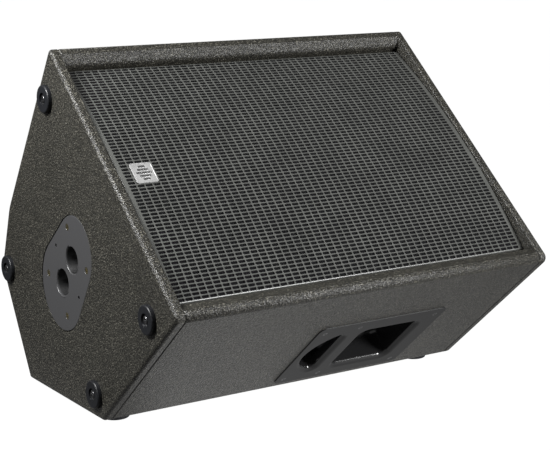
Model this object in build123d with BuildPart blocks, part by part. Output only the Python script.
"""A 12-inch two-way multi-purpose stage cabinet, lying on its floor face as a monitor wedge.

Frame: millimetres, +X along the cabinet from its base end to its top end, +Y to the back, +Z up.
The origin is in the middle of the cabinet's box, on the surface that the floor feet stand on.
"""
import os
from math import asin, cos, radians, sin

from build123d import *

os.makedirs("parts", exist_ok=True)

# ------------------------------------------------------------------ driving dimensions: cabinet
cabinet_length = 568.0  # over the two end panels
floor_width = 231.0  # the face that the wedge stands on
lower_side_width = 271.0
lower_side_slope = 40.4  # degrees above the floor, rising to the front
front_width = 438.5
front_slope = 41.6  # degrees above the floor, rising to the back
rear_width = 168.6
rear_slope = 60.2  # degrees above the floor, leaning out over the floor behind
upper_rear_width = 97.0
upper_rear_slope = 69.2  # degrees above the floor, leaning back in
wall = 13.0  # plywood of every panel
edge_round = {"front_high": 5.0, "shoulder": 60.0, "rear_high": 4.0, "bottom_rear": 5.0}
edge_round |= {"bottom_front": 9.0, "front_low": 9.0}
end_round = 5.0  # outer edges of the end panels
seam = 1.4  # chamfer on both sides of the joint between an end panel and the walls

# Front: rails behind the front edges, baffle and grille. Depth is measured in from the front face.
low_rail_width, high_rail_width = 29.0, 23.0  # from the outer corner, wall included
bevel_depth = 10.5  # at the rail's inner edge
rail_lip_round = 9.0
baffle_depth = 34.0
baffle_thickness = 15.0
grille_low, grille_high = 33.5, 411.0  # across the front face, from its lower edge
grille_mid_depth = 2.0
grille_edge_depth = 17.0
grille_sheet = 1.5
grille_end_gap = 0.8
foam_thickness = 4.0

# Pole mount in the base panel: across the front (u) and in from it (depth).
pole_u = 224.5
pole_radius = 18.0  # for a 35 mm stand pole
pole_length = 90.0
pole_depths = (171.5, 218.0)
pole_tilts = (3.0, 7.0)  # degrees, so that the upright cabinet leans forward on the pole
pole_wall = 2.0
plate_depths = (160.0, 225.0)
plate_radii = (51.0, 61.0)
plate_thickness = 5.0
plate_sink = 0.4  # below the panel's surface

# Feet
foot_radius = 18.5
base_foot_height = 6.0
base_feet_at = ((44.3, 57.7), (71.9, 256.7), (403.9, 58.6), (349.6, 347.4))  # u, depth
floor_foot_height = 7.0
floor_feet_x = (32.0, 521.0)
floor_feet_along = (28.0, 201.0)  # from the floor face's front corner

# Handle in the lower side: its plate's centre, along the cabinet and down from the front edge.
handle_x, handle_s = 353.5, 180.0
handle_plate = (207.0, 158.0)
handle_plate_round = 10.0
handle_proud = 1.5
handle_rim_round = 0.8
cup_depth = 41.0
cup_wall = 3.0
mouth_round = 7.4  # the edges of both finger openings
collar_depth = 10.0  # the wider upper part of the cup, round the rounded edges

# Loudspeakers on the baffle: centres along the cabinet and across the front.
woofer_x, driver_u = 185.0, 219.0
horn_x = 455.0
port_radius = 26.0
port_wall = 2.5
port_length = 72.0
ports_at = ((398.0, 58.0), (500.0, 58.0), (398.0, 380.0), (500.0, 380.0))  # x, u

# Amplifier plate on the rear face: centre along the cabinet and up from the floor corner.
amp_x, amp_up = 300.0, 84.0
amp_plate_size = (320.0, 132.0)
amp_opening = (298.0, 110.0)

inner_length = cabinet_length - 2 * wall
base_x = -(cabinet_length - base_foot_height) / 2  # the base panel's outer face
touch_gap = 0.02  # keeps two pieces of one node that bear on each other separate solids


# ------------------------------------------------------------------ the section and its planes
def along(start, length, slope):
    """The point reached from start by going a length at a slope, in degrees above +Y."""
    return Vector(start.X + length * cos(radians(slope)), start.Y + length * sin(radians(slope)))


def section_corners(bottom_front):
    """The section's corners in (Y, Z), in order from the front's upper edge round by the back."""
    front_low = along(bottom_front, lower_side_width, 180 - lower_side_slope)
    front_high = along(front_low, front_width, front_slope)
    bottom_rear = along(bottom_front, floor_width, 0)
    rear_high = along(bottom_rear, rear_width, rear_slope)
    shoulder = along(rear_high, upper_rear_width, 180 - upper_rear_slope)
    return {
        "front_high": front_high,
        "shoulder": shoulder,
        "rear_high": rear_high,
        "bottom_rear": bottom_rear,
        "bottom_front": bottom_front,
        "front_low": front_low,
    }


def rounded_section(corners):
    """The outline of the cabinet as a local sketch, x for Y and y for Z."""
    with BuildSketch() as section:
        Polygon(*[(p.X, p.Y) for p in corners.values()], align=None)
        for name, point in corners.items():
            fillet(section.vertices().sort_by_distance(Vector(point.X, point.Y, 0))[0], edge_round[name])
    return section.sketch


centre_y = rounded_section(section_corners(Vector(0, 0))).bounding_box().center().X
corner = section_corners(Vector(-centre_y, floor_foot_height))
outline = rounded_section(corner)
outline_wire = outline.faces()[0].outer_wire()


def unit(a, b):
    return (b - a).normalized()


def inward(a, b):
    """The inward normal of the wall from a to b, both in the order of section_corners."""
    run = unit(a, b)
    return Vector(run.Y, -run.X)


def mitre(before, at, after, depth=wall):
    """The inner corner where two walls of the same thickness meet."""
    n1, n2 = inward(before, at), inward(at, after)
    return at + (n1 + n2) * (depth / (1 + n1.dot(n2)))


def front_inner(corner_name, neighbour_name, sign):
    """Where the inside of a side wall reaches the front face."""
    at, other = corner[corner_name], corner[neighbour_name]
    angle = radians(unit(at, other).get_angle(unit(corner["front_low"], corner["front_high"]) * sign))
    return at + unit(corner["front_low"], corner["front_high"]) * sign * (wall / sin(angle))


names = list(corner)
inner = {"front_high": front_inner("front_high", "shoulder", -1)}
for before, at, after in zip(names, names[1:], names[2:]):
    inner[at] = mitre(corner[before], corner[at], corner[after])
inner["front_low"] = front_inner("front_low", "bottom_front", 1)


def face_plane(start, end):
    """An outer face: x along the cabinet, y across the face from start to end, z outwards."""
    run = unit(corner[start], corner[end])
    origin = corner[start]
    return Plane(origin=(base_x, origin.X, origin.Y), x_dir=(1, 0, 0), z_dir=(0, -run.Y, run.X))


front_face = face_plane("front_low", "front_high")
lower_side_face = face_plane("bottom_front", "front_low")
floor_face = face_plane("bottom_rear", "bottom_front")
rear_face = face_plane("rear_high", "bottom_rear")
across = front_face.y_dir  # up the front face
depthwards = -front_face.z_dir  # into the cabinet

# The base panel's outer face: x up the front, y in from the front, z out of the base.
base_face = Plane(origin=front_face.origin, x_dir=across, z_dir=(-1, 0, 0))
# A section of the cabinet: x up the front, y out of the front, z along the cabinet.
front_section = Plane(origin=front_face.origin, x_dir=across, z_dir=(1, 0, 0))


def on_face(face, x, y, out=0.0, x_dir=None):
    """The plane parallel to a face, at a place on it."""
    return Plane(origin=face.from_local_coords((x, y, out)), x_dir=x_dir or face.x_dir, z_dir=face.z_dir)


def turning(plane):
    """The plane to draw a turned profile in: x is the radius and y is the axis, plane's z."""
    return Plane(origin=plane.origin, x_dir=plane.x_dir, z_dir=plane.x_dir.cross(plane.z_dir))


def axis_of(plane):
    return Axis(plane.origin, plane.z_dir)


# ------------------------------------------------------------------ shapes that several pieces use
def strip(start, end):
    """The section of one wall, between its outer and inner corners."""
    ring = [corner[start], corner[end], inner[end], inner[start]]
    with BuildSketch() as section:
        Polygon(*[(p.X, p.Y) for p in ring], align=None)
        add(outline, mode=Mode.INTERSECT)
    return section.sketch


def inside_section(low, high, u_low=-50.0, u_high=500.0):
    """The part of the cabinet's inside between two depths, drawn in front_section's x and y."""
    ring = [front_section.to_local_coords(Vector(0, p.X, p.Y)) for p in inner.values()]
    with BuildSketch() as section:
        Polygon(*[(p.X, p.Y) for p in ring], align=None)
        with Locations(((u_low + u_high) / 2, -(low + high) / 2)):
            Rectangle(u_high - u_low, high - low, mode=Mode.INTERSECT)
    return section.sketch


def wall_blank(start, end):
    """One wall between the end panels, its outer edges chamfered at the joints."""
    with BuildPart() as blank:
        with BuildSketch(Plane.YZ.offset(base_x + wall)):
            add(strip(start, end))
        extrude(amount=inner_length)
        ends = blank.faces().filter_by(Axis.X).sort_by(Axis.X)
        edges = [
            edge
            for face in (ends[0], ends[-1])
            for edge in face.edges()
            if outline_wire.distance_to(Vector((edge @ 0.5).Y, (edge @ 0.5).Z, 0)) < seam / 10
        ]
        chamfer(edges, seam)
    return blank.part


def end_blank(outer_x, inner_x):
    """An end panel between two places along the cabinet, rounded outside, chamfered inside."""
    with BuildPart() as blank:
        with BuildSketch(Plane.YZ.offset(min(outer_x, inner_x))):
            add(outline)
        extrude(amount=wall)
        fillet(blank.faces().sort_by(lambda f: abs(f.center().X - outer_x))[0].edges(), end_round)
        chamfer(blank.faces().sort_by(lambda f: abs(f.center().X - inner_x))[0].edges(), seam)
    return blank.part


def screw(plane, head, shank, countersunk=False):
    """A cross-recessed screw: head (radius, height) on the plane, shank (radius, length) below it."""
    (head_radius, head_height), (shank_radius, shank_length) = head, shank
    with BuildPart() as piece:
        with BuildSketch(plane):
            Circle(head_radius)
        if countersunk:
            extrude(amount=-head_height, taper=40)
        else:
            extrude(amount=head_height)
            fillet(piece.faces().sort_by(axis_of(plane))[-1].edges(), head_height * 0.4)
        with BuildSketch(plane):
            Circle(shank_radius)
        extrude(amount=-shank_length)
        with BuildSketch(plane.offset(0 if countersunk else head_height)):
            Rectangle(head_radius * 1.1, head_radius * 0.25)
            Rectangle(head_radius * 0.25, head_radius * 1.1)
        extrude(amount=-head_height * 0.5, mode=Mode.SUBTRACT)
    return piece.part


def rubber_foot(plane, height):
    """A round rubber foot with a recess for its screw."""
    with BuildPart() as foot:
        with BuildSketch(plane):
            Circle(foot_radius)
        extrude(amount=height)
        fillet(foot.faces().sort_by(axis_of(plane))[-1].edges(), 2.0)
        with BuildSketch(plane.offset(height)):
            Circle(foot_recess_radius)
        extrude(amount=-foot_recess_depth, mode=Mode.SUBTRACT)
        with BuildSketch(plane):
            Circle(foot_screw_radius)
        extrude(amount=height, mode=Mode.SUBTRACT)
    return foot.part


def write(builder, name):
    builder.part.label = name
    export_step(builder.part, f"parts/{name}.step")


foot_recess_radius = 8.5
foot_recess_depth = 3.5
foot_screw_radius = 2.4
foot_screw_length = 12.0
foot_screw_head = (5.0, 2.2)


def foot_screw(plane, height):
    """The screw and washer in a foot's recess."""
    seat = plane.offset(height - foot_recess_depth)
    with BuildPart() as fastener:
        with BuildSketch(seat):
            Circle(foot_recess_radius - 0.5)
        extrude(amount=0.8)
        add(screw(seat.offset(0.8), foot_screw_head, (foot_screw_radius, foot_screw_length)))
    return fastener.part


base_foot_planes = [on_face(base_face, u, depth) for u, depth in base_feet_at]
floor_foot_planes = [
    on_face(floor_face, x, floor_width - y) for x in floor_feet_x for y in floor_feet_along
]
base_pilot_depth = foot_screw_length - 0.8 - (base_foot_height - foot_recess_depth) + 0.5
floor_pilot_depth = foot_screw_length - 0.8 - (floor_foot_height - foot_recess_depth) + 0.5


def drill(planes, radius, depth):
    """Blind or through holes down from each plane, cut from the part being built."""
    with BuildPart() as holes:
        for plane in planes:
            with BuildSketch(plane):
                Circle(radius)
            extrude(amount=-depth)
    return holes.part


# ------------------------------------------------------------------ pole mount
def pear(margin=0.0):
    """The pole plate's outline in (u, depth): the hull of a small and a larger circle."""
    with BuildSketch() as shape:
        for depth, radius in zip(plate_depths, plate_radii):
            with Locations((pole_u, depth)):
                Circle(radius + margin)
        make_hull()
    return shape.sketch


def socket_plane(depth, tilt):
    """The mouth of a pole socket: z comes out of it, along the tilted pole."""
    into = Vector(1, 0, 0) * cos(radians(tilt)) + depthwards * sin(radians(tilt))
    return Plane(origin=base_face.from_local_coords((pole_u, depth, 0)), x_dir=across, z_dir=-into)


socket_planes = [socket_plane(d, t) for d, t in zip(pole_depths, pole_tilts)]
pole_screw_at = [(pole_u + du, 196.5 + dd) for du in (-36.0, 36.0) for dd in (-48.5, 48.5)]
pole_spare_at = [(pole_u + du, 195.0) for du in (-43.5, 43.5)]
pole_screw_radius = 2.2
pole_screw_head = (4.6, 2.6)
pole_panel_opening = (52.0, 100.0)
pole_floor = plate_sink + plate_thickness
mouth_chamfer = 2.4

with BuildPart() as pole_mount:
    with BuildSketch(base_face.offset(-plate_sink)):
        add(pear())
    extrude(amount=-plate_thickness)
    fillet(pole_mount.faces().sort_by(Axis.X)[0].edges(), 1.2)
    for socket in socket_planes:
        with BuildSketch(socket.offset(-plate_sink - 1)):
            Circle(pole_radius + pole_wall)
        extrude(amount=-pole_length - 1)
    for socket in socket_planes:
        with BuildSketch(socket.offset(6)):
            Circle(pole_radius)
        extrude(amount=-pole_length - 6, mode=Mode.SUBTRACT)
    for socket in socket_planes:
        with BuildSketch(socket):
            Circle(pole_radius + mouth_chamfer)
        extrude(amount=-mouth_chamfer, taper=45, mode=Mode.SUBTRACT)
    for u, depth in pole_screw_at:
        with BuildSketch(on_face(base_face, u, depth, -plate_sink)):
            Circle(pole_screw_head[0] + 0.3)
        extrude(amount=-pole_screw_head[1] - 0.4, taper=40, mode=Mode.SUBTRACT)
        with BuildSketch(on_face(base_face, u, depth)):
            Circle(pole_screw_radius + 0.2)
        extrude(amount=-pole_floor, mode=Mode.SUBTRACT)
    for u, depth in pole_spare_at:
        with BuildSketch(on_face(base_face, u, depth)):
            Circle(2.6)
        extrude(amount=-pole_floor + 1, mode=Mode.SUBTRACT)
write(pole_mount, "pole_mount")

with BuildPart() as pole_mount_screws:
    for u, depth in pole_screw_at:
        add(screw(on_face(base_face, u, depth, -plate_sink - 0.2), pole_screw_head,
                  (pole_screw_radius, wall - 2), countersunk=True))
write(pole_mount_screws, "pole_mount_screws")

# ------------------------------------------------------------------ cabinet panels
with BuildPart() as base_panel:
    add(end_blank(base_x, base_x + wall))
    with BuildSketch(base_face):
        add(pear(0.8))
    extrude(amount=-pole_floor, mode=Mode.SUBTRACT)
    with BuildSketch(on_face(base_face, pole_u, 197.0)):
        RectangleRounded(*pole_panel_opening, 12)
    extrude(amount=-wall, mode=Mode.SUBTRACT)
    add(drill(base_foot_planes, foot_screw_radius, base_pilot_depth), mode=Mode.SUBTRACT)
    add(drill([on_face(base_face, u, d) for u, d in pole_screw_at], pole_screw_radius, wall - 1),
        mode=Mode.SUBTRACT)
write(base_panel, "base_panel")

with BuildPart() as top_panel:
    add(end_blank(base_x + cabinet_length, base_x + cabinet_length - wall))
write(top_panel, "top_panel")


# The handle's cup is a box with one round end. Its two finger openings leave the grip bar between.
cup_round_x, cup_round_y, cup_round_radius = -32.5, -2.5, 56.0
cup_right, cup_top, cup_bottom = 71.5, 47.5, -53.5
bar_left, bar_right = -50.5, -21.0
left_corner_round, right_corner_round = 7.5, 11.0
collar_margin = mouth_round + 1.6
panel_clearance = 0.6  # round the collar
handle_plane = on_face(lower_side_face, handle_x, lower_side_width - handle_s)
handle_screw_at = [(x, y) for x in (-90.5, -34.5, 89.5) for y in (63.5, -68.0)]
handle_screw_head = (3.6, 1.2)
handle_screw_radius = 1.9


def cup_outline(margin):
    """The outline of both finger openings and the bar between them, grown by a margin."""
    low, high, right = cup_bottom - margin, cup_top + margin, cup_right + margin
    with BuildSketch() as shape:
        with Locations((cup_round_x, cup_round_y)):
            Circle(cup_round_radius + margin)
        with Locations(((cup_round_x + right) / 2, (low + high) / 2)):
            Rectangle(right - cup_round_x, high - low)
        with Locations((0, (low + high) / 2)):
            Rectangle(4 * cup_right, high - low, mode=Mode.INTERSECT)
    return shape.sketch


def finger_openings():
    """The two openings below their rounded edges, one on each side of the grip bar."""
    with BuildSketch() as left:
        with Locations((cup_round_x, cup_round_y)):
            Circle(cup_round_radius)
        with Locations((bar_left - 50, cup_round_y)):
            Rectangle(100, 4 * cup_round_radius, mode=Mode.INTERSECT)
        fillet(left.vertices(), left_corner_round)
    with BuildSketch() as both:
        add(left.sketch)
        with Locations(((bar_right + cup_right) / 2, (cup_top + cup_bottom) / 2)):
            RectangleRounded(cup_right - bar_right, cup_top - cup_bottom, right_corner_round)
    return both.sketch


with BuildPart() as lower_side_panel:
    add(wall_blank("bottom_front", "front_low"))
    with BuildSketch(handle_plane):
        add(cup_outline(collar_margin + panel_clearance))
    extrude(amount=-wall, mode=Mode.SUBTRACT)
    handle_holes = [on_face(handle_plane, x, y) for x, y in handle_screw_at]
    add(drill(handle_holes, handle_screw_radius, wall - 1), mode=Mode.SUBTRACT)
write(lower_side_panel, "lower_side_panel")

with BuildPart() as floor_panel:
    add(wall_blank("bottom_rear", "bottom_front"))
    add(drill(floor_foot_planes, foot_screw_radius, floor_pilot_depth), mode=Mode.SUBTRACT)
write(floor_panel, "floor_panel")

amp_plane = on_face(rear_face, amp_x, rear_width - amp_up, x_dir=Vector(-1, 0, 0))
amp_screw_at = [(x, y) for x in (-154.5, -52, 52, 154.5) for y in (-60.5, 60.5)]
amp_screw_at += [(-154.5, 0), (154.5, 0)]
amp_screw_radius = 2.0

with BuildPart() as rear_panel:
    add(wall_blank("rear_high", "bottom_rear"))
    with BuildSketch(amp_plane):
        RectangleRounded(*amp_opening, 10)
    extrude(amount=-wall, mode=Mode.SUBTRACT)
    amp_holes = [on_face(amp_plane, x, y) for x, y in amp_screw_at]
    add(drill(amp_holes, amp_screw_radius, wall - 2), mode=Mode.SUBTRACT)
write(rear_panel, "rear_panel")

with BuildPart() as upper_rear_panel:
    add(wall_blank("shoulder", "rear_high"))
write(upper_rear_panel, "upper_rear_panel")

with BuildPart() as upper_side_panel:
    add(wall_blank("front_high", "shoulder"))
write(upper_side_panel, "upper_side_panel")


def front_rail(u_low, u_high, bevel):
    """A rail behind one front edge, from the front face back to the baffle, with its bevel."""
    with BuildPart() as rail:
        with BuildSketch(front_section.offset(wall)):
            add(inside_section(0, baffle_depth, u_low, u_high))
            Polygon(*bevel, align=None, mode=Mode.SUBTRACT)
        extrude(amount=inner_length)
        lip = rail.edges().filter_by(Axis.X).sort_by_distance(
            front_section.from_local_coords((bevel[1][0], bevel[1][1], cabinet_length / 2)))[0]
        fillet(lip, rail_lip_round)
    return rail.part


high_rail_u = front_width - high_rail_width
low_start = front_section.to_local_coords(Vector(0, inner["front_low"].X, inner["front_low"].Y)).X
high_start = front_section.to_local_coords(Vector(0, inner["front_high"].X, inner["front_high"].Y)).X
low_bevel = [(low_start, 0), (low_rail_width, -bevel_depth), (low_rail_width, 0)]
high_bevel = [(high_start, 0), (high_rail_u, -bevel_depth), (high_rail_u, 0)]

with BuildPart() as lower_front_rail:
    add(front_rail(0, low_rail_width, low_bevel))
write(lower_front_rail, "lower_front_rail")

with BuildPart() as upper_front_rail:
    add(front_rail(high_rail_u, front_width, high_bevel))
write(upper_front_rail, "upper_front_rail")

# ------------------------------------------------------------------ feet
with BuildPart() as base_feet:
    for plane in base_foot_planes:
        add(rubber_foot(plane, base_foot_height))
write(base_feet, "base_feet")

with BuildPart() as floor_feet:
    for plane in floor_foot_planes:
        add(rubber_foot(plane, floor_foot_height))
write(floor_feet, "floor_feet")

with BuildPart() as foot_screws:
    for plane in base_foot_planes:
        add(foot_screw(plane, base_foot_height))
    for plane in floor_foot_planes:
        add(foot_screw(plane, floor_foot_height))
write(foot_screws, "foot_screws")

# ------------------------------------------------------------------ handle
bar_depth = 14.0  # the grip bar's underside
passage_height = 78.0  # along the bar, under it
cup_floor_round = 6.0
bar_middle = (bar_left + bar_right) / 2
handle_top = handle_plane.offset(handle_proud)
handle_axis = axis_of(handle_plane)
cup_floor = cup_depth - cup_wall

# The space for the fingers: two pockets that join under the grip bar.
with BuildPart() as finger_space:
    with BuildSketch(handle_top):
        add(finger_openings())
    extrude(amount=-handle_proud - cup_floor)
    with BuildSketch(on_face(handle_plane, bar_middle, (cup_top + cup_bottom) / 2, -bar_depth)):
        Rectangle(bar_right - bar_left + 2, passage_height)
    extrude(amount=bar_depth - cup_floor)
    fillet(finger_space.faces().sort_by(handle_axis)[0].edges(), cup_floor_round)

with BuildPart() as handle:
    with BuildSketch(handle_plane):
        RectangleRounded(*handle_plate, handle_plate_round)
    extrude(amount=handle_proud)
    fillet(handle.faces().sort_by(handle_axis)[-1].edges(), handle_rim_round)
    with BuildSketch(handle_plane):
        add(cup_outline(collar_margin))
    extrude(amount=-collar_depth)
    with BuildSketch(handle_plane):
        add(cup_outline(cup_wall))
    extrude(amount=-cup_depth)
    add(finger_space.part, mode=Mode.SUBTRACT)
    openings = handle.faces().sort_by(handle_axis)[-1].inner_wires()
    fillet([edge for wire in openings for edge in wire.edges()], mouth_round)
    for x, y in handle_screw_at:
        with BuildSketch(on_face(handle_top, x, y)):
            Circle(handle_screw_head[0] + 0.3)
        extrude(amount=-handle_screw_head[1] - 0.4, taper=40, mode=Mode.SUBTRACT)
        with BuildSketch(on_face(handle_top, x, y)):
            Circle(handle_screw_radius + 0.2)
        extrude(amount=-handle_proud, mode=Mode.SUBTRACT)
write(handle, "handle")

with BuildPart() as handle_screws:
    for x, y in handle_screw_at:
        add(screw(on_face(handle_top, x, y, -0.2), handle_screw_head,
                  (handle_screw_radius, wall - 2), countersunk=True))
write(handle_screws, "handle_screws")

# ------------------------------------------------------------------ baffle, brace and felt
woofer_plane = on_face(front_face, woofer_x, driver_u, -baffle_depth)
horn_plane = on_face(front_face, horn_x, driver_u, -baffle_depth)
port_planes = [on_face(front_face, x, u, -baffle_depth) for x, u in ports_at]
woofer_hole_radius = 141.5
woofer_screw_circle = 148.5
woofer_screw_radius = 2.4
horn_mouth = (158.0, 238.0)
horn_wall = 3.0
horn_flange = (186.0, 262.0)
horn_screw_at = [(x, y) for x in (-86.0, 86.0) for y in (-112.0, 0.0, 112.0)]
horn_screw_radius = 2.0

with BuildPart() as baffle:
    with BuildSketch(front_section.offset(wall)):
        add(inside_section(baffle_depth, baffle_depth + baffle_thickness))
    extrude(amount=inner_length)
    with BuildSketch(woofer_plane):
        Circle(woofer_hole_radius)
    extrude(amount=-baffle_thickness, mode=Mode.SUBTRACT)
    with BuildSketch(horn_plane):
        RectangleRounded(horn_mouth[0] + 2 * horn_wall + 2, horn_mouth[1] + 2 * horn_wall + 2, 20)
    extrude(amount=-baffle_thickness, mode=Mode.SUBTRACT)
    with BuildSketch(woofer_plane):
        with PolarLocations(woofer_screw_circle, 8, start_angle=22.5):
            Circle(woofer_screw_radius)
    extrude(amount=-baffle_thickness + 2, mode=Mode.SUBTRACT)
    horn_holes = [on_face(horn_plane, x, y) for x, y in horn_screw_at]
    add(drill(horn_holes, horn_screw_radius, baffle_thickness - 2), mode=Mode.SUBTRACT)
    add(drill(port_planes, port_radius + port_wall, baffle_thickness), mode=Mode.SUBTRACT)
write(baffle, "baffle")

brace_x, brace_thickness, brace_reach = 346.0, 15.0, 46.0

with BuildPart() as cross_brace:
    with BuildSketch(front_section.offset(brace_x)):
        back = baffle_depth + baffle_thickness
        add(inside_section(back, back + brace_reach))
    extrude(amount=brace_thickness)
write(cross_brace, "cross_brace")

felt_thickness = 18.0
felt_planes = [
    on_face(face_plane("front_high", "shoulder"), cabinet_length / 2, 185.0, -wall),
    on_face(floor_face, 400.0, floor_width / 2 + 2, -wall),
]
felt_sizes = [(480.0, 130.0), (230.0, 150.0)]

with BuildPart() as damping_felt:
    for plane, size in zip(felt_planes, felt_sizes):
        with BuildSketch(plane):
            RectangleRounded(*size, 8)
        extrude(amount=-felt_thickness)
write(damping_felt, "damping_felt")

with BuildPart() as port_tubes:
    for plane in port_planes:
        with BuildSketch(plane):
            Circle(port_radius + port_wall)
            Circle(port_radius, mode=Mode.SUBTRACT)
        extrude(amount=-port_length)
write(port_tubes, "port_tubes")

# ------------------------------------------------------------------ grille
grille_mid = (grille_low + grille_high) / 2
grille_lip_depth = baffle_depth - 0.5


def bow(inset):
    """Points (u, -depth) of an arc across the front: the grille's, set in by a thickness."""
    return (
        (grille_low + inset, -grille_edge_depth - inset),
        (grille_mid, -grille_mid_depth - inset),
        (grille_high - inset, -grille_edge_depth - inset),
    )


def bowed_sheet(outer, inner_inset, back_depth=None):
    """The section between two arcs, or from an arc back to a flat depth with lips at its edges."""
    (low, mid, high), (low_in, mid_in, high_in) = bow(outer), bow(inner_inset)
    with BuildSketch() as section:
        with BuildLine():
            ThreePointArc(low, mid, high)
            if back_depth:
                Line(high, (high[0], -back_depth))
                Line((high[0], -back_depth), (high_in[0], -back_depth))
                Line((high_in[0], -back_depth), high_in)
            else:
                Line(high, high_in)
            ThreePointArc(high_in, mid_in, low_in)
            if back_depth:
                Line(low_in, (low_in[0], -back_depth))
                Line((low_in[0], -back_depth), (low[0], -back_depth))
                Line((low[0], -back_depth), low)
            else:
                Line(low_in, low)
        make_face()
    return section.sketch


grille_x = wall + grille_end_gap
grille_length = inner_length - 2 * grille_end_gap
end_flange = 12.0

with BuildPart() as grille:
    with BuildSketch(front_section.offset(grille_x)):
        add(bowed_sheet(0, grille_sheet, grille_lip_depth))
    extrude(amount=grille_length)
    for x in (grille_x, grille_x + grille_length - grille_sheet):
        with BuildSketch(front_section.offset(x)):
            add(bowed_sheet(0, end_flange))
        extrude(amount=grille_sheet)
write(grille, "grille")

with BuildPart() as grille_foam:
    with BuildSketch(front_section.offset(grille_x + grille_sheet)):
        add(bowed_sheet(grille_sheet, grille_sheet + foam_thickness))
    extrude(amount=grille_length - 2 * grille_sheet)
write(grille_foam, "grille_foam")

# Spring clips on the baffle that grip the grille's lips.
clip_sheet, clip_width, clip_height = 0.8, 14.0, 9.0
clip_gap = grille_sheet + 0.1


def clip(x, u, out):
    """A channel-shaped clip on the baffle round a grille lip; out is the side away from the rail."""
    plane = front_section.offset(x - clip_width / 2)
    foot = 10.0
    with BuildPart() as piece:
        with BuildSketch(plane):
            with Locations((u + out * (clip_gap / 2 + clip_sheet / 2), -baffle_depth + clip_height / 2)):
                Rectangle(clip_sheet, clip_height)
            with Locations((u + out * (clip_gap / 2 + foot / 2), -baffle_depth + clip_sheet / 4)):
                Rectangle(foot, clip_sheet / 2)
        extrude(amount=clip_width)
    return piece.part


with BuildPart() as grille_clips:
    for x in (30.0, 345.0, 538.0):
        add(clip(x, grille_low + grille_sheet / 2, 1))
        add(clip(x, grille_high - grille_sheet / 2, -1))
write(grille_clips, "grille_clips")

badge_size, badge_thickness = (30.0, 32.0), 1.4
badge_x, badge_u = 47.8, 219.5
badge_plane = on_face(front_face, badge_x, badge_u, -grille_mid_depth)

with BuildPart() as badge:
    with BuildSketch(badge_plane):
        RectangleRounded(*badge_size, 3)
    extrude(amount=badge_thickness)
    fillet(badge.faces().sort_by(axis_of(badge_plane))[-1].edges(), 0.5)
write(badge, "badge")

# ------------------------------------------------------------------ woofer
woofer_turning = turning(woofer_plane)
woofer_axis = axis_of(woofer_plane)
flange_radius, flange_thickness = 155.0, 5.0
frame_floor = -86.0  # underside of the basket, along the woofer's axis
frame_inside, window_inside, window_depth = 134.0, 107.0, 42.0  # the basket's windows, between six legs
frame_leg_width = 24.0
plate_radius, gap_radius, pole_piece_radius = 75.0, 41.0, 36.4
coil_radius = 38.0
cone_edge, cone_neck = (114.0, 5.0), (coil_radius, -50.0)
cone_thickness = 1.6
roll_middle, roll_radius, roll_thickness = 126.0, 7.0, 1.0
glued_rim_radius = 141.0  # outer edge of the surround's flat rim on the frame
glue_lap = roll_radius + 0.4  # the flat rims start this far from the roll's middle

with BuildPart() as woofer_basket:
    with BuildSketch(woofer_turning):
        Polygon((frame_inside, 0), (flange_radius, 0), (flange_radius, flange_thickness),
                (frame_inside, flange_thickness), align=None)
        Polygon((141, 0), (141, -12), (88, frame_floor), (46, frame_floor), (46, frame_floor + 4),
                (85, frame_floor + 4), (137, -10), (137, 0), align=None)
        Polygon((104, -58), (97, -58), (97, -62), (104, -62), align=None)
    revolve(axis=woofer_axis)
    with BuildSketch(woofer_plane.offset(-14)):
        Circle(frame_inside)
        Circle(window_inside, mode=Mode.SUBTRACT)
        with PolarLocations(0, 3):
            Rectangle(2 * flange_radius, frame_leg_width, mode=Mode.SUBTRACT)
    extrude(amount=-window_depth, mode=Mode.SUBTRACT)
    with BuildSketch(woofer_plane.offset(flange_thickness)):
        with PolarLocations(woofer_screw_circle, 8, start_angle=22.5):
            Circle(woofer_screw_radius + 0.2)
    extrude(amount=-flange_thickness, mode=Mode.SUBTRACT)
write(woofer_basket, "woofer_basket")

with BuildPart() as woofer_surround:
    with BuildSketch(woofer_turning):
        with Locations((roll_middle, flange_thickness)):
            Circle(roll_radius + roll_thickness)
            Circle(roll_radius, mode=Mode.SUBTRACT)
            with Locations((0, -roll_radius)):
                Rectangle(4 * roll_radius, 2 * roll_radius, mode=Mode.SUBTRACT)
        for start, end in ((cone_edge[0], roll_middle - glue_lap), (roll_middle + glue_lap, glued_rim_radius)):
            with Locations(((start + end) / 2, flange_thickness + roll_thickness / 2)):
                Rectangle(end - start, roll_thickness)
    revolve(axis=woofer_axis)
write(woofer_surround, "woofer_surround")

with BuildPart() as woofer_gasket:
    with BuildSketch(woofer_plane.offset(flange_thickness + roll_thickness)):
        Circle(141)
        Circle(135, mode=Mode.SUBTRACT)
    extrude(amount=2.5)
write(woofer_gasket, "woofer_gasket")

with BuildPart() as woofer_cone:
    with BuildSketch(woofer_turning):
        Polygon(cone_edge, (cone_edge[0], cone_edge[1] + cone_thickness),
                (cone_neck[0], cone_neck[1] + cone_thickness), cone_neck, align=None)
    revolve(axis=woofer_axis)
write(woofer_cone, "woofer_cone")


def cone_front(radius):
    """Height of the cone's front surface at a radius, along the woofer's axis."""
    slope = (cone_edge[1] - cone_neck[1]) / (cone_edge[0] - cone_neck[0])
    return cone_neck[1] + cone_thickness + slope * (radius - cone_neck[0])


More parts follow.
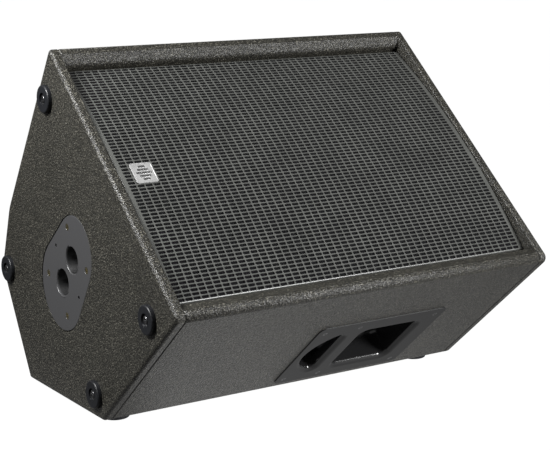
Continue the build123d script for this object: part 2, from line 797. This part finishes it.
def dome(radius, base, rise, thickness):
    """The half section (radius, height) of a thin dome, its edge's underside at base."""
    bend = (radius**2 + rise**2) / (2 * rise)
    half_angle = asin(radius / bend) / 2
    middle = (bend * sin(half_angle), base + rise - bend * (1 - cos(half_angle)))
    with BuildSketch() as section:
        with BuildLine():
            ThreePointArc((radius, base), middle, (0, base + rise))
            Line((0, base + rise), (0, base + rise + thickness))
            ThreePointArc((0, base + rise + thickness), (middle[0], middle[1] + thickness),
                          (radius, base + thickness))
            Line((radius, base + thickness), (radius, base))
        make_face()
    return section.sketch


cap_radius, cap_rise, cap_thickness = 52.0, 13.0, 0.8

with BuildPart() as dust_cap:
    with BuildSketch(woofer_turning):
        add(dome(cap_radius, cone_front(cap_radius), cap_rise, cap_thickness))
    revolve(axis=woofer_axis)
write(dust_cap, "dust_cap")

with BuildPart() as voice_coil:
    with BuildSketch(woofer_turning):
        Polygon((37.4, -94), (coil_radius, -94), (coil_radius, -44), (37.4, -44), align=None)
        Polygon((coil_radius, -93), (39.2, -93), (39.2, -79), (coil_radius, -79), align=None)
    revolve(axis=woofer_axis)
write(voice_coil, "voice_coil")

spider_thickness, spider_waves, spider_outer = 0.7, 6, 101.5

with BuildPart() as woofer_spider:
    with BuildSketch(woofer_turning):
        step = (spider_outer - 6 - coil_radius) / (2 * spider_waves)
        lower = [(coil_radius + 0.05 + i * step, -58 + 3.0 * (i % 2)) for i in range(2 * spider_waves + 1)]
        lower.append((spider_outer, -58))
        Polygon(*lower, *[(r, z + spider_thickness) for r, z in reversed(lower)], align=None)
    revolve(axis=woofer_axis)
write(woofer_spider, "woofer_spider")

with BuildPart() as magnet_ring:
    with BuildSketch(woofer_plane.offset(frame_floor - 8)):
        Circle(plate_radius)
        Circle(45, mode=Mode.SUBTRACT)
    extrude(amount=-20)
write(magnet_ring, "magnet_ring")

with BuildPart() as motor_steel:
    with BuildSketch(woofer_plane.offset(frame_floor - 28)):
        Circle(plate_radius - 2)
    extrude(amount=-8)
    chamfer(motor_steel.faces().sort_by(woofer_axis)[0].edges(), 3)
    with BuildSketch(woofer_plane.offset(frame_floor - 28)):
        Circle(pole_piece_radius)
    extrude(amount=30)
    with BuildSketch(woofer_plane):
        Circle(12)
    extrude(amount=-130, mode=Mode.SUBTRACT)
    with BuildSketch(woofer_plane.offset(frame_floor)):
        Circle(plate_radius - 2)
        Circle(gap_radius, mode=Mode.SUBTRACT)
    extrude(amount=-8)
write(motor_steel, "motor_steel")

woofer_screw = screw(on_face(woofer_plane, woofer_screw_circle, 0, flange_thickness), (4.6, 2.8),
                     (woofer_screw_radius, flange_thickness + baffle_thickness - 3))

with BuildPart() as woofer_screws:
    for i in range(8):
        add(woofer_screw.rotate(woofer_axis, 22.5 + 45 * i))
write(woofer_screws, "woofer_screws")

# ------------------------------------------------------------------ horn and compression driver
horn_length, throat_radius = 110.0, 13.0
horn_flange_thickness = 5.0
horn_axis = axis_of(horn_plane)


def horn_loft(grow):
    """The flare from mouth to throat, grown by a wall thickness."""
    with BuildPart() as flare:
        stations = (
            (horn_flange_thickness, horn_mouth[0], horn_mouth[1], 16.0),
            (-40.0, 84.0, 132.0, 14.0),
            (-horn_length, 2 * throat_radius, 2 * throat_radius, throat_radius - 0.2),
        )
        for height, wide, tall, corner_radius in stations:
            with BuildSketch(horn_plane.offset(height)):
                RectangleRounded(wide + 2 * grow, tall + 2 * grow, corner_radius + grow)
        loft()
    return flare.part


with BuildPart() as horn:
    add(horn_loft(horn_wall))
    with BuildSketch(horn_plane):
        RectangleRounded(*horn_flange, 12)
    extrude(amount=horn_flange_thickness)
    with BuildSketch(horn_plane.offset(-horn_length)):
        Circle(44)
    extrude(amount=7)
    add(horn_loft(0), mode=Mode.SUBTRACT)
    for x, y in horn_screw_at:
        with BuildSketch(on_face(horn_plane, x, y, horn_flange_thickness)):
            Circle(horn_screw_radius + 0.2)
        extrude(amount=-horn_flange_thickness, mode=Mode.SUBTRACT)
    with BuildSketch(horn_plane.offset(-horn_length + 7)):
        with PolarLocations(36, 4, start_angle=45):
            Circle(3.1)
    extrude(amount=-7, mode=Mode.SUBTRACT)
write(horn, "horn")

driver_front = -horn_length
with BuildPart() as compression_driver:
    with BuildSketch(turning(horn_plane)):
        Polygon((12.7, driver_front), (46, driver_front), (46, driver_front - 8), (50, driver_front - 8),
                (50, driver_front - 34), (40, driver_front - 34), (38, driver_front - 56),
                (30, driver_front - 60), (0, driver_front - 60), (0, driver_front - 50),
                (28, driver_front - 50), (28, driver_front - 36), (12.7, driver_front - 36), align=None)
    revolve(axis=horn_axis)
    with BuildSketch(horn_plane.offset(driver_front)):
        with PolarLocations(36, 4, start_angle=45):
            Circle(2.9)
    extrude(amount=-8, mode=Mode.SUBTRACT)
write(compression_driver, "compression_driver")

dome_radius, dome_rise, dome_thickness = 24.0, 6.0, 0.5
dome_base = driver_front - 46

with BuildPart() as driver_diaphragm:
    with BuildSketch(turning(horn_plane)):
        add(dome(dome_radius, dome_base, dome_rise, dome_thickness))
    revolve(axis=horn_axis)
write(driver_diaphragm, "driver_diaphragm")

driver_bolt = screw(on_face(horn_plane, 36, 0, driver_front + 7), (5.0, 4.0), (2.9, 14.0))

# The horn's screws into the baffle, and the bolts that hold the driver to the throat.
with BuildPart() as horn_fixings:
    for x, y in horn_screw_at:
        add(screw(on_face(horn_plane, x, y, horn_flange_thickness), (4.0, 2.4),
                  (horn_screw_radius, horn_flange_thickness + baffle_thickness - 4)))
    for i in range(4):
        add(driver_bolt.rotate(horn_axis, 45 + 90 * i))
write(horn_fixings, "horn_fixings")

# ------------------------------------------------------------------ amplifier on the rear face
gasket_thickness, amp_sheet = 1.0, 3.0
amp_front = gasket_thickness + amp_sheet  # outer surface of the plate, out from the rear panel
amp_outer = amp_plane.offset(amp_front)
amp_back = amp_plane.offset(gasket_thickness)
inlet_at, switch_at = (122.0, -27.0), (122.0, 27.0)
input_at, link_at = (66.0, 27.0), (66.0, -27.0)
knobs_at = {"level": (18.0, 27.0), "tone": (18.0, -27.0)}
buttons_at = {"lift": (-14.0, 27.0), "monitor": (-14.0, -27.0)}
lamps_at = [(x, 0.0) for x in (-18.0, -6.0, 6.0)]
socket_hole_radius, bushing_radius, lamp_radius = 12.0, 3.5, 2.5
button_side, button_clearance, button_travel = 7.0, 0.15, 3.0
inlet_body, switch_body_size = (47.0, 27.0), (27.0, 21.0)
board_spacer_at = [(x, y) for x in (-140.0, -44.0) for y in (-46.0, 46.0)]
board_spacer_at += [(x, y) for x in (-26.0, 143.0) for y in (-46.0, 46.0)]

with BuildPart() as amp_gasket:
    with BuildSketch(amp_plane):
        RectangleRounded(*amp_plate_size, 8)
        RectangleRounded(amp_opening[0] + 2, amp_opening[1] + 2, 10, mode=Mode.SUBTRACT)
        with Locations(*amp_screw_at):
            Circle(amp_screw_radius + 0.3, mode=Mode.SUBTRACT)
    extrude(amount=gasket_thickness)
write(amp_gasket, "amp_gasket")

with BuildPart() as amp_plate:
    with BuildSketch(amp_back):
        RectangleRounded(*amp_plate_size, 8)
        with Locations(*amp_screw_at):
            Circle(amp_screw_radius + 0.2, mode=Mode.SUBTRACT)
        with Locations(inlet_at):
            Rectangle(*inlet_body, mode=Mode.SUBTRACT)
        with Locations(switch_at):
            Rectangle(*switch_body_size, mode=Mode.SUBTRACT)
        with Locations(input_at, link_at):
            Circle(socket_hole_radius, mode=Mode.SUBTRACT)
        with Locations(*knobs_at.values()):
            Circle(bushing_radius, mode=Mode.SUBTRACT)
        with Locations(*buttons_at.values()):
            Rectangle(button_side + 2 * button_clearance, button_side + 2 * button_clearance,
                      mode=Mode.SUBTRACT)
        with Locations(*lamps_at):
            Circle(lamp_radius, mode=Mode.SUBTRACT)
    extrude(amount=amp_sheet)
    chamfer(amp_plate.faces().sort_by(axis_of(amp_plane))[-1].outer_wire().edges(), 0.6)
write(amp_plate, "amp_plate")

with BuildPart() as amp_screws:
    for x, y in amp_screw_at:
        add(screw(on_face(amp_outer, x, y), (3.8, 2.2), (amp_screw_radius, amp_front + wall - 4)))
write(amp_screws, "amp_screws")

# A finned heat sink outside the plate.
sink_at, sink_size, sink_base = (-92.0, 0.0), (112.0, 104.0), 3.0
fin_count, fin_thickness, fin_height = 13, 2.0, 9.0
fin_pitch = (sink_size[0] - fin_thickness) / (fin_count - 1)

with BuildPart() as heat_sink:
    with BuildSketch(amp_outer):
        with Locations(sink_at):
            Rectangle(*sink_size)
    extrude(amount=sink_base)
    with BuildSketch(amp_outer.offset(sink_base)):
        with Locations(sink_at):
            with GridLocations(fin_pitch, 1, fin_count, 1):
                Rectangle(fin_thickness, sink_size[1])
    extrude(amount=fin_height)
write(heat_sink, "heat_sink")

# Mains inlet and rocker switch
inlet_flange, inlet_depth, inlet_cavity = (50.0, 31.0), 22.0, (25.0, 17.0)
inlet_reach = 16.0
inlet_plane = on_face(amp_outer, *inlet_at)

with BuildPart() as mains_inlet:
    with BuildSketch(inlet_plane):
        RectangleRounded(*inlet_flange, 3)
    extrude(amount=2)
    with BuildSketch(inlet_plane):
        Rectangle(*inlet_body)
    extrude(amount=-inlet_depth)
    with BuildSketch(inlet_plane.offset(2)):
        RectangleRounded(*inlet_cavity, 2.5)
    extrude(amount=-2 - inlet_reach, mode=Mode.SUBTRACT)
    with BuildSketch(inlet_plane.offset(-inlet_reach + touch_gap)):
        with Locations((-7, -1.5), (0, 2.5), (7, -1.5)):
            Rectangle(2, 4)
    extrude(amount=inlet_reach - 7)
write(mains_inlet, "mains_inlet")

switch_plane = on_face(amp_outer, *switch_at)
rocker_size, rocker_gap, rocker_tilt = (19.0, 15.0), 1.0, 8.0
rocker_pivot = switch_plane.offset(-3)

with BuildPart() as switch_body:
    with BuildSketch(switch_plane):
        RectangleRounded(30, 24, 2)
    extrude(amount=1.6)
    with BuildSketch(switch_plane):
        Rectangle(*switch_body_size)
    extrude(amount=-20)
    with BuildSketch(switch_plane.offset(1.6)):
        Rectangle(rocker_size[0] + 0.8, rocker_size[1] + 2 * rocker_gap)
    extrude(amount=-12, mode=Mode.SUBTRACT)
write(switch_body, "switch_body")

# The rocker's section, turned back by its tilt, is drawn across the switch: x up the plate.
rocker_section = Plane(origin=rocker_pivot.origin, x_dir=rocker_pivot.y_dir, z_dir=rocker_pivot.x_dir)

with BuildPart() as power_rocker:
    half = rocker_size[1] / 2
    with BuildSketch(rocker_section.offset(-rocker_size[0] / 2)):
        Polygon((-half, 6.2), (0, 4.4), (half, 6.2), (half - 1, -3), (0, -5), (1 - half, -3),
                align=None, rotation=rocker_tilt)
    extrude(amount=rocker_size[0])
write(power_rocker, "power_rocker")

# Input and link sockets
socket_flange, socket_depth, socket_bore, socket_bore_depth = (26.0, 31.0), 22.0, 9.6, 16.0
latch_size, latch_at, latch_travel = (8.0, 4.0), 12.2, 1.5
latch_clearance = 0.2


def panel_socket(at, latched):
    """A round three-pole panel socket on a rectangular flange."""
    plane = on_face(amp_outer, *at)
    with BuildPart() as body:
        with BuildSketch(plane):
            RectangleRounded(*socket_flange, 2.5)
        extrude(amount=3)
        with BuildSketch(plane):
            Circle(socket_hole_radius)
        extrude(amount=-socket_depth)
        with BuildSketch(plane.offset(3)):
            Circle(socket_bore)
            if latched:
                Circle(7.0, mode=Mode.SUBTRACT)
        extrude(amount=-3 - socket_bore_depth, mode=Mode.SUBTRACT)
        if latched:
            with BuildSketch(plane.offset(3)):
                Circle(3.3)
            extrude(amount=-3 - socket_bore_depth, mode=Mode.SUBTRACT)
            with BuildSketch(plane.offset(3)):
                with Locations((0, latch_at)):
                    Rectangle(latch_size[0] + 2 * latch_clearance, latch_size[1] + 2 * latch_clearance)
            extrude(amount=-3, mode=Mode.SUBTRACT)
    return body.part


with BuildPart() as input_socket:
    add(panel_socket(input_at, True))
write(input_socket, "input_socket")

with BuildPart() as input_latch:
    with BuildSketch(on_face(amp_outer, input_at[0], input_at[1] + latch_at, latch_travel + 0.2)):
        RectangleRounded(*latch_size, 1)
    extrude(amount=3.2)
write(input_latch, "input_latch")

with BuildPart() as link_socket:
    add(panel_socket(link_at, False))
    with BuildSketch(on_face(amp_outer, *link_at, -socket_bore_depth + touch_gap)):
        with PolarLocations(4.8, 3, start_angle=90):
            Circle(1.2)
    extrude(amount=socket_bore_depth - 7)
write(link_socket, "link_socket")


# Gain controls: the pot's body and bushing stay, the shaft turns with its knob.
shaft_radius = 2.0


def pot_body(at):
    with BuildPart() as body:
        with BuildSketch(on_face(amp_back, *at)):
            Rectangle(17, 17)
        extrude(amount=-9)
        with BuildSketch(on_face(amp_back, *at)):
            Circle(bushing_radius)
        extrude(amount=amp_sheet + 3)
        with BuildSketch(on_face(amp_outer, *at)):
            RegularPolygon(5.5, 6)
        extrude(amount=1.8)
        with BuildSketch(on_face(amp_outer, *at, 3)):
            Circle(shaft_radius + 0.05)
        extrude(amount=-12, mode=Mode.SUBTRACT)
    return body.part


def knob(at):
    """A knob with its pointer groove, and the shaft pressed into it as a second solid."""
    with BuildPart() as cap:
        with BuildSketch(on_face(amp_outer, *at, 3.6)):
            Circle(8)
        extrude(amount=11, taper=5)
        fillet(cap.faces().sort_by(axis_of(amp_plane))[-1].edges(), 1)
        with BuildSketch(on_face(amp_outer, *at, 3.6)):
            Circle(shaft_radius + touch_gap)
        extrude(amount=8 + touch_gap, mode=Mode.SUBTRACT)
        with BuildSketch(on_face(amp_outer, at[0], at[1] + 5, 14.6)):
            Rectangle(1.2, 8)
        extrude(amount=-1, mode=Mode.SUBTRACT)
    with BuildPart() as shaft:
        with BuildSketch(on_face(amp_outer, *at, -8.5)):
            Circle(shaft_radius)
        extrude(amount=3.6 + 8 + 8.5)
    return [cap.part, shaft.part]


with BuildPart() as level_knob:
    add(knob(knobs_at["level"]))
write(level_knob, "level_knob")

with BuildPart() as tone_knob:
    add(knob(knobs_at["tone"]))
write(tone_knob, "tone_knob")

# Sprung push buttons with their switch bodies behind the plate
button_low, button_high = -3.0, 5.0  # from the plate's outer surface, at rest


def push_button(at):
    with BuildPart() as button:
        with BuildSketch(on_face(amp_outer, *at, button_low)):
            Rectangle(button_side, button_side)
        extrude(amount=button_high - button_low)
        fillet(button.faces().sort_by(axis_of(amp_plane))[-1].edges(), 0.8)
        with BuildSketch(on_face(amp_outer, *at, button_low)):
            Circle(1.5)
        extrude(amount=-7)
    return button.part


with BuildPart() as lift_button:
    add(push_button(buttons_at["lift"]))
write(lift_button, "lift_button")

with BuildPart() as monitor_button:
    add(push_button(buttons_at["monitor"]))
write(monitor_button, "monitor_button")

with BuildPart() as control_bodies:
    for at in knobs_at.values():
        add(pot_body(at))
    for at in buttons_at.values():
        with BuildSketch(on_face(amp_outer, *at, button_low - button_travel - 0.3)):
            Rectangle(10, 10)
            Circle(1.65, mode=Mode.SUBTRACT)
        extrude(amount=-9)
write(control_bodies, "control_bodies")

with BuildPart() as indicator_lamps:
    for at in lamps_at:
        with BuildSketch(on_face(amp_back, *at, -2)):
            Circle(lamp_radius)
        extrude(amount=amp_sheet + 4)
    fillet(indicator_lamps.faces().group_by(axis_of(amp_plane))[-1].edges(), 1.5)
write(indicator_lamps, "indicator_lamps")

# Boards behind the plate
board_thickness, power_board_z, signal_board_z = 1.6, -12.0, -26.0

with BuildPart() as circuit_boards:
    for x, size, level in ((sink_at[0], (106, 102), power_board_z), (58.5, (180, 102), signal_board_z)):
        with BuildSketch(on_face(amp_plane, x, 0, level)):
            Rectangle(*size)
        extrude(amount=-board_thickness)
write(circuit_boards, "circuit_boards")

with BuildPart() as board_spacers:
    for x, y in board_spacer_at:
        reach = power_board_z if x < -40 else signal_board_z
        with BuildSketch(on_face(amp_plane, x, y, gasket_thickness)):
            RegularPolygon(3.4, 6)
        extrude(amount=reach - gasket_thickness)
write(board_spacers, "board_spacers")

# Blocks on the boards: x, y, width, height across and how far they stand off the board.
blocks_at = ((-62, 22, 26, 32, 22), (-62, -22, 26, 26, 16), (20, 20, 14, 14, 3), (62, -10, 20, 8, 4),
             (100, 24, 16, 10, 12), (10, -26, 24, 10, 6))

with BuildPart() as board_parts:
    for x, y in [(x, y) for x in (-128.0, -98.0) for y in (-18.0, 18.0)]:
        with BuildSketch(on_face(amp_plane, x, y, power_board_z - board_thickness)):
            Circle(12.5)
        extrude(amount=-38)
    fillet(board_parts.faces().group_by(axis_of(amp_plane))[0].edges(), 1.5)
    for x, y, wide, tall, high in blocks_at:
        level = power_board_z if x < -30 else signal_board_z
        with BuildSketch(on_face(amp_plane, x, y, level - board_thickness)):
            Rectangle(wide, tall)
        extrude(amount=-high)
write(board_parts, "board_parts")

# Toroidal transformer on the floor panel
toroid_x, toroid_along, toroid_radius, toroid_height = 150.0, 140.0, 48.0, 42.0
toroid_plane = on_face(floor_face, toroid_x, floor_width - toroid_along, -wall)

with BuildPart() as transformer:
    with BuildSketch(toroid_plane):
        Circle(toroid_radius)
        Circle(16, mode=Mode.SUBTRACT)
    extrude(amount=-toroid_height)
    fillet(transformer.faces().sort_by(axis_of(toroid_plane))[0].edges(), 8)
    with BuildSketch(toroid_plane.offset(-toroid_height - touch_gap)):
        Circle(30)
    extrude(amount=-2)
    with BuildSketch(toroid_plane):
        Circle(3)
    extrude(amount=-toroid_height - 2)
    with BuildSketch(toroid_plane.offset(-toroid_height - 2)):
        RegularPolygon(6, 6)
    extrude(amount=-5)
write(transformer, "transformer")

# ------------------------------------------------------------------ internal speaker leads
lead_radius = 3.0


def inside_amp(x, y, depth):
    return amp_plane.from_local_coords((x, y, -depth))


def by_woofer(x, y, z):
    return woofer_plane.from_local_coords((x, y, z))


def by_horn(x, y, z):
    return horn_plane.from_local_coords((x, y, z))


lead_routes = [
    ([inside_amp(-62, 22, 36), inside_amp(-62, 22, 75), by_woofer(140, 60, -150), by_woofer(82, 0, -135),
      by_woofer(82, 0, frame_floor)], [18, 22, 16]),
    ([inside_amp(-62, -22, 30), inside_amp(-62, -22, 75), by_horn(0, 0, -225), by_horn(0, 0, -170)],
     [20, 22]),
]

with BuildPart() as speaker_leads:
    for points, bends in lead_routes:
        with BuildLine() as route:
            FilletPolyline(*points, radius=bends)
        with BuildSketch(Plane(origin=route.line @ 0, z_dir=route.line % 0)):
            Circle(lead_radius)
        sweep(path=route.line)
write(speaker_leads, "speaker_leads")
